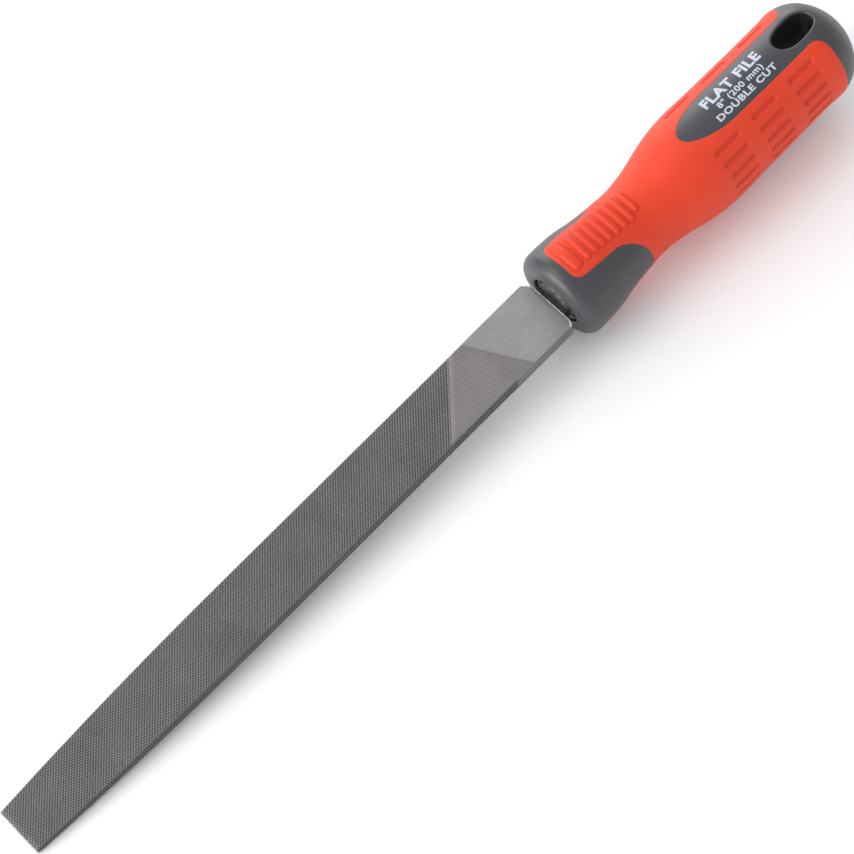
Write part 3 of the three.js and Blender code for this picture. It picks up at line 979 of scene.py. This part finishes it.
# In from the seam, a rib's foot or a groove's rim, and the lift there.
SEAM_EDGE = [(0.0, -0.35), (0.03, -0.03), (0.1, 0.05), (0.24, 0.09), (0.42, GRIP_PROUD)]
INNER_LIFT = -1.3
FIRST_RIB = {"centre": 8.25, "half_width": 1.55, "corner": 0.95, "top": 0.74}
RIB = {"first": 11.15, "pitch": 2.76, "count": 8, "width": 1.85, "half": 5.2}
RIB_STEPS = [(-0.27, 0.1), (-0.1, 0.0), (0.05, 0.12), (0.18, 0.46), (0.38, 0.65), (0.64, 0.72)]
GROOVE = {"length": 9.8, "width": 1.7, "rows": 8, "pitch": math.radians(15.0)}
GROOVE_STEPS = [(-0.14, GRIP_PROUD), (0.02, 0.03), (0.2, -0.2), (0.42, -0.36), (0.66, -0.42)]
GROOVE_COLUMNS = (61.4, 76.1, 90.8)
GROOVE_FIRST = math.radians(39.2)
LOBE_RADIUS = 15.2
# How strongly the painted shade darkens the grooves and edges, per millimetre below the surface.
GROOVE_SHADE = 0.55
CLEAR_OF_EDGE = 0.6
CLEAR_OF_RIB = 0.5
CLEAR_OF_GROOVE = 0.3
PILL_STEP = 0.45

grip = Sheets("shade")
layout = Unrolled()
for inward, lift in SEAM_EDGE:
    layout.line(shifted(front_seam, inward), lift)
    layout.line(shifted(rear_seam, -inward), lift)
stops = [front_seam[0, 0] + inward for inward, _ in SEAM_EDGE]
stops += [rear_seam[0, 0] - inward for inward, _ in SEAM_EDGE[::-1]]
stop_lifts = [lift for _, lift in SEAM_EDGE + SEAM_EDGE[::-1]]
layout.sides(stops, lambda along: np.interp(along, stops, stop_lifts), step=0.9)


def pill(half_length, half_width, inward):
    """A rounded bar's outline as (lengthwise, crosswise) points, drawn in by a distance."""
    across = half_width - inward
    reach = half_length - half_width
    line = [(reach + across * math.cos(a), across * math.sin(a))
            for a in np.linspace(-math.pi / 2, math.pi / 2, 9)]
    count = max(2, int(reach / PILL_STEP))
    line += [(k, across) for k in np.linspace(reach, -reach, count + 1)[1:-1]]
    return np.array(line + [(-k, -c) for k, c in line])


# Each rib: its middle, half its width, and how far it reaches to each side. The last ones are
# shorter, so that together they end in a round.
ribs = [(FIRST_RIB["centre"], FIRST_RIB["half_width"], RIB["half"])]
pad_end = RIB["first"] + RIB["count"] * RIB["pitch"]
for k in range(RIB["count"]):
    centre = RIB["first"] + k * RIB["pitch"] + RIB["width"] / 2
    left = min(1, (pad_end - centre) / RIB["half"])
    ribs.append((centre, RIB["width"] / 2, RIB["half"] * math.sqrt(1 - (1 - left) ** 2)))
for centre, half, reach in ribs:
    corner = min(half, FIRST_RIB["corner"])
    outlines = []
    for inward, lift in RIB_STEPS:
        y, along = pill(reach, corner, inward).T
        outlines.append((centre + (along + np.copysign(half - corner, along)), y, lift))
    layout.both_faces(outlines)

grooves = [(column, side * (GROOVE_FIRST + row * GROOVE["pitch"]))
           for column in GROOVE_COLUMNS for side in (-1, 1) for row in range(GROOVE["rows"])]
grooves = [(a, w - 2 * math.pi if w > PART_LINE else w) for a, w in grooves]
for centre, middle in grooves:
    for inward, lift in GROOVE_STEPS:
        line = pill(GROOVE["length"] / 2, GROOVE["width"] / 2, inward)
        angle = middle + line[:, 1] / float(handle_radius(centre))
        layout.line(np.stack([centre + line[:, 0], angle], 1), lift, closed=True)


def open_rubber(along, angle):
    """Fill points stay off the edges, the ribs and the grooves, but also lie on the first rib."""
    ok = in_grip(along, angle, CLEAR_OF_EDGE)
    y = np.abs(np.sin(angle) * handle_radius(along))
    for centre, half, reach in ribs:
        off = np.abs(along - centre)
        near = (off < half + CLEAR_OF_RIB) & (y < reach + CLEAR_OF_RIB)
        top = (half > FIRST_RIB["corner"]) & (off < half - CLEAR_OF_EDGE)
        top &= y < reach - CLEAR_OF_EDGE
        ok &= ~near | top
    for centre, middle in grooves:
        over = np.clip(np.abs(along - centre) - (GROOVE["length"] - GROOVE["width"]) / 2, 0, None)
        beside = np.hypot(over, (angle - middle) * LOBE_RADIUS)
        ok &= beside >= GROOVE["width"] / 2 + CLEAR_OF_GROOVE
    return ok


def rubber_lift(along, angle):
    """Inside the broad first rib the fill points lie on its top."""
    y = np.sin(angle) * handle_radius(along)
    on_rib = np.abs(along - FIRST_RIB["centre"]) < FIRST_RIB["half_width"]
    return np.where(on_rib & (np.abs(y) < RIB["half"]), FIRST_RIB["top"], GRIP_PROUD)


layout.fill(PAD["front"], LOBE["end"], open_rubber, rubber_lift, step=0.85)
# Painted shade: the grooves, the rib feet and the seam's rounded edges are painted darker the lower
# they lie.
layout.surface(grip, in_grip, shade=lambda along, angle, lift: np.clip(
    (GRIP_PROUD - lift) * GROOVE_SHADE, 0, 1))

# The overmould's inside, which lies against the core's recess, and the edge between the two.
inside = Unrolled()
for seam in (front_seam, rear_seam):
    inside.line(seam, INNER_LIFT)


def inner_lift(along, angle=PART_LINE):
    return np.full(len(along), INNER_LIFT)


inside.sides([front_seam[0, 0], rear_seam[0, 0]], inner_lift, step=2.4)
inside.fill(PAD["front"], LOBE["end"], lambda a, w: in_grip(a, w, 0.9), inner_lift, step=2.4)
inside.surface(grip, in_grip)
# The edge between the overmould and the core is painted in full shade.
for seam in (front_seam, rear_seam):
    grip.skin([wrapped(*seam.T, lift) for lift in (SEAM_EDGE[0][1], INNER_LIFT)], shade=1.0)

red_rubber = moulded_material("red_rubber", (0.705, 0.042, 0.010), (0.745, 0.049, 0.013),
                              rough_range=(0.52, 0.44), fineness=3200.0, depth=0.00002,
                              Specular_IOR_Level=0.38)
overmould = grip.mesh("grip_overmould_rubber", smooth_below=55.0)
overmould.data.materials.append(red_rubber)
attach(overmould, "root")
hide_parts("grip_overmould")

# ---- printed panel ---------------------------------------------------------------------------
# Three lines of pale ink, pad printed on the bare panel of the upper side: what the tool is, its
# length and its cut, in plain words.
INK_LIFT = 0.02
INK_BAND = 0.45
PRINT = [  # words, start and end along the handle, baseline y, capital height, boldness
    ("FLAT FILE", 64.6, 86.6, 0.75, 3.3, 0.042),
    ("8\" (200 mm)", 67.2, 84.5, -2.05, 1.95, 0.026),
    ("DOUBLE CUT", 64.4, 87.2, -4.75, 1.85, 0.036),
]


def ink_line(words, start, end, baseline, height, bold):
    """One line of print as flat triangles in (along, y), cut into bands that can bend."""
    text = bpy.data.curves.new("ink_line", "FONT")
    text.body = words
    text.offset = bold
    text.space_character = 1.1
    text.resolution_u = 4
    holder = placed("ink_line", text)
    shape = bmesh.new()
    shape.from_mesh(holder.to_mesh())
    bpy.data.objects.remove(holder)
    xs = [v.co.x for v in shape.verts]
    high = max(v.co.y for v in shape.verts)
    for vertex in shape.verts:
        part = (vertex.co.x - min(xs)) / (max(xs) - min(xs))
        vertex.co.x = start + (end - start) * part
        vertex.co.y = baseline + height * vertex.co.y / high
    bmesh.ops.triangulate(shape, faces=shape.faces)
    for y in np.arange(baseline - 1.0, baseline + height + 0.5, INK_BAND):
        everything = shape.verts[:] + shape.edges[:] + shape.faces[:]
        bmesh.ops.bisect_plane(shape, geom=everything, plane_co=(0, y, 0), plane_no=(0, 1, 0))
    bmesh.ops.triangulate(shape, faces=shape.faces)
    flat = bpy.data.meshes.new("ink_line")
    shape.to_mesh(flat)
    shape.free()
    return flat


print_shape = bmesh.new()
for line in PRINT:
    print_shape.from_mesh(ink_line(*line))
for vertex in print_shape.verts:
    place = wrapped(vertex.co.x, angle_at(vertex.co.x, vertex.co.y), INK_LIFT)
    vertex.co = Vector(place / TO_MM)
bmesh.ops.recalc_face_normals(print_shape, faces=print_shape.faces)
ink_mesh = bpy.data.meshes.new("panel_print")
print_shape.to_mesh(ink_mesh)
print_shape.free()
panel_print = placed("panel_print", ink_mesh)
panel_ink, tree, shader = new_material("panel_ink", Specular_IOR_Level=0.4)
wear = add_node(tree, "ShaderNodeGroup", {"Fineness": 1800.0}, node_tree=moulded_grain)
worn = ranged(tree, wear.outputs["Grain"], 0.0, 1.0, 0.3, 0.55)
ink_tone = blend_colour(tree, worn, (0.42, 0.46, 0.54, 1), (0.56, 0.61, 0.72, 1))
feed(tree, shader, Base_Color=ink_tone, Roughness=ranged(tree, wear.outputs["Cloud"], 0.45, 0.6))
panel_print.data.materials.append(panel_ink)
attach(panel_print, "root")

# ---- floor, light and camera -----------------------------------------------------------------
# A pale matt sheet, a hair's breadth under the file, which lies on its point and on the first rib
# under the handle. The lamps are large and soft, as in a studio.
RESTS_AT = 7.4  # along the handle, on the first rib
FLOOR_HALF = 4.0
FLOOR_GAP = 0.2  # keeps the sheet clear of the rib and the point
FLOOR_SQUARES = 8
under_rib = wrapped(RESTS_AT, math.pi, RIB_STEPS[-1][1])
point_low = np.array([point_x, 0.0, -(half_thickness - THICKNESS_TAPER["amount"])])
lean = math.atan2(point_low[2] - under_rib[2], under_rib[0] - point_low[0])
floor_mesh = bpy.data.meshes.new("floor_sheet")
lines_across = np.linspace(-FLOOR_HALF, FLOOR_HALF, FLOOR_SQUARES + 1)
row_step = FLOOR_SQUARES + 1
floor_mesh.from_pydata(
    [(x, y, 0.0) for y in lines_across for x in lines_across], [],
    [(k, k + 1, k + row_step + 1, k + row_step)
     for j in range(FLOOR_SQUARES) for k in range(j * row_step, j * row_step + FLOOR_SQUARES)])
floor = placed("floor_sheet", floor_mesh)
floor.location = (under_rib[0] / TO_MM, 0, (under_rib[2] - FLOOR_GAP) / TO_MM)
floor.rotation_euler = (0, lean, 0)
pale_sheet, tree, shader = new_material("pale_sheet", Specular_IOR_Level=0.2)
fibre = noise(tree, add_node(tree, "ShaderNodeTexCoord", {}).outputs["Object"], 700.0, 3.0)
paper = blend_colour(tree, fibre, (0.93, 0.93, 0.935, 1), (0.95, 0.95, 0.955, 1))
feed(tree, shader, Base_Color=paper, Roughness=ranged(tree, fibre, 0.7, 0.9))
floor_mesh.materials.append(pale_sheet)

world = bpy.data.worlds.new("studio")
bpy.context.scene.world = world
world.use_nodes = True
sky = world.node_tree.nodes["Background"]
sky.inputs["Color"].default_value = (0.97, 0.985, 1.0, 1)
sky.inputs["Strength"].default_value = 0.74


def soft_lamp(name, towards, distance, size, power):
    """A large square lamp that looks at the middle of the file."""
    data = bpy.data.lights.new(name, "AREA")
    data.shape = "SQUARE"
    data.size = size
    data.energy = power
    lamp = placed(name, data)
    direction = Vector(towards).normalized()
    lamp.location = direction * distance
    lamp.rotation_mode = "QUATERNION"
    lamp.rotation_quaternion = direction.to_track_quat("Z", "Y")


soft_lamp("key_lamp", (-0.4, 0.35, 0.85), 1.6, 1.2, 7)
soft_lamp("front_lamp", (-0.96, 0.15, 0.27), 1.6, 1.5, 30)
soft_lamp("back_lamp", (0.45, 0.85, 0.3), 1.8, 1.4, 14)

TILT = math.radians(28.5)  # the camera leans this far over to the right side
SWING = math.radians(9.75)  # and this far towards the point
ROLL = math.radians(-0.22)
CAMERA_DISTANCE = 0.7053
AIM = Vector((-0.00536, 0.00026, 0.0))
back = Vector((-math.sin(SWING), -math.sin(TILT) * math.cos(SWING),
               math.cos(TILT) * math.cos(SWING)))
along_tool = Vector((math.cos(SWING), -math.sin(TILT) * math.sin(SWING),
                     math.cos(TILT) * math.sin(SWING)))
across = Vector((0, -math.cos(TILT), -math.sin(TILT)))
tool_line = along_tool * math.cos(ROLL) + across * math.sin(ROLL)
cross_line = across * math.cos(ROLL) - along_tool * math.sin(ROLL)
right = (tool_line + cross_line).normalized()
up = (tool_line - cross_line).normalized()
camera_data = bpy.data.cameras.new("camera")
camera_data.lens = 110.29
camera_data.sensor_width = 36.0
camera_data.clip_start = 0.05
camera_data.clip_end = 20
camera = placed("camera", camera_data)
turn = Matrix((right, up, back)).transposed().to_4x4()
camera.matrix_world = Matrix.Translation(AIM + back * CAMERA_DISTANCE) @ turn
bpy.context.scene.camera = camera
bpy.context.scene.view_settings.view_transform = "Standard"
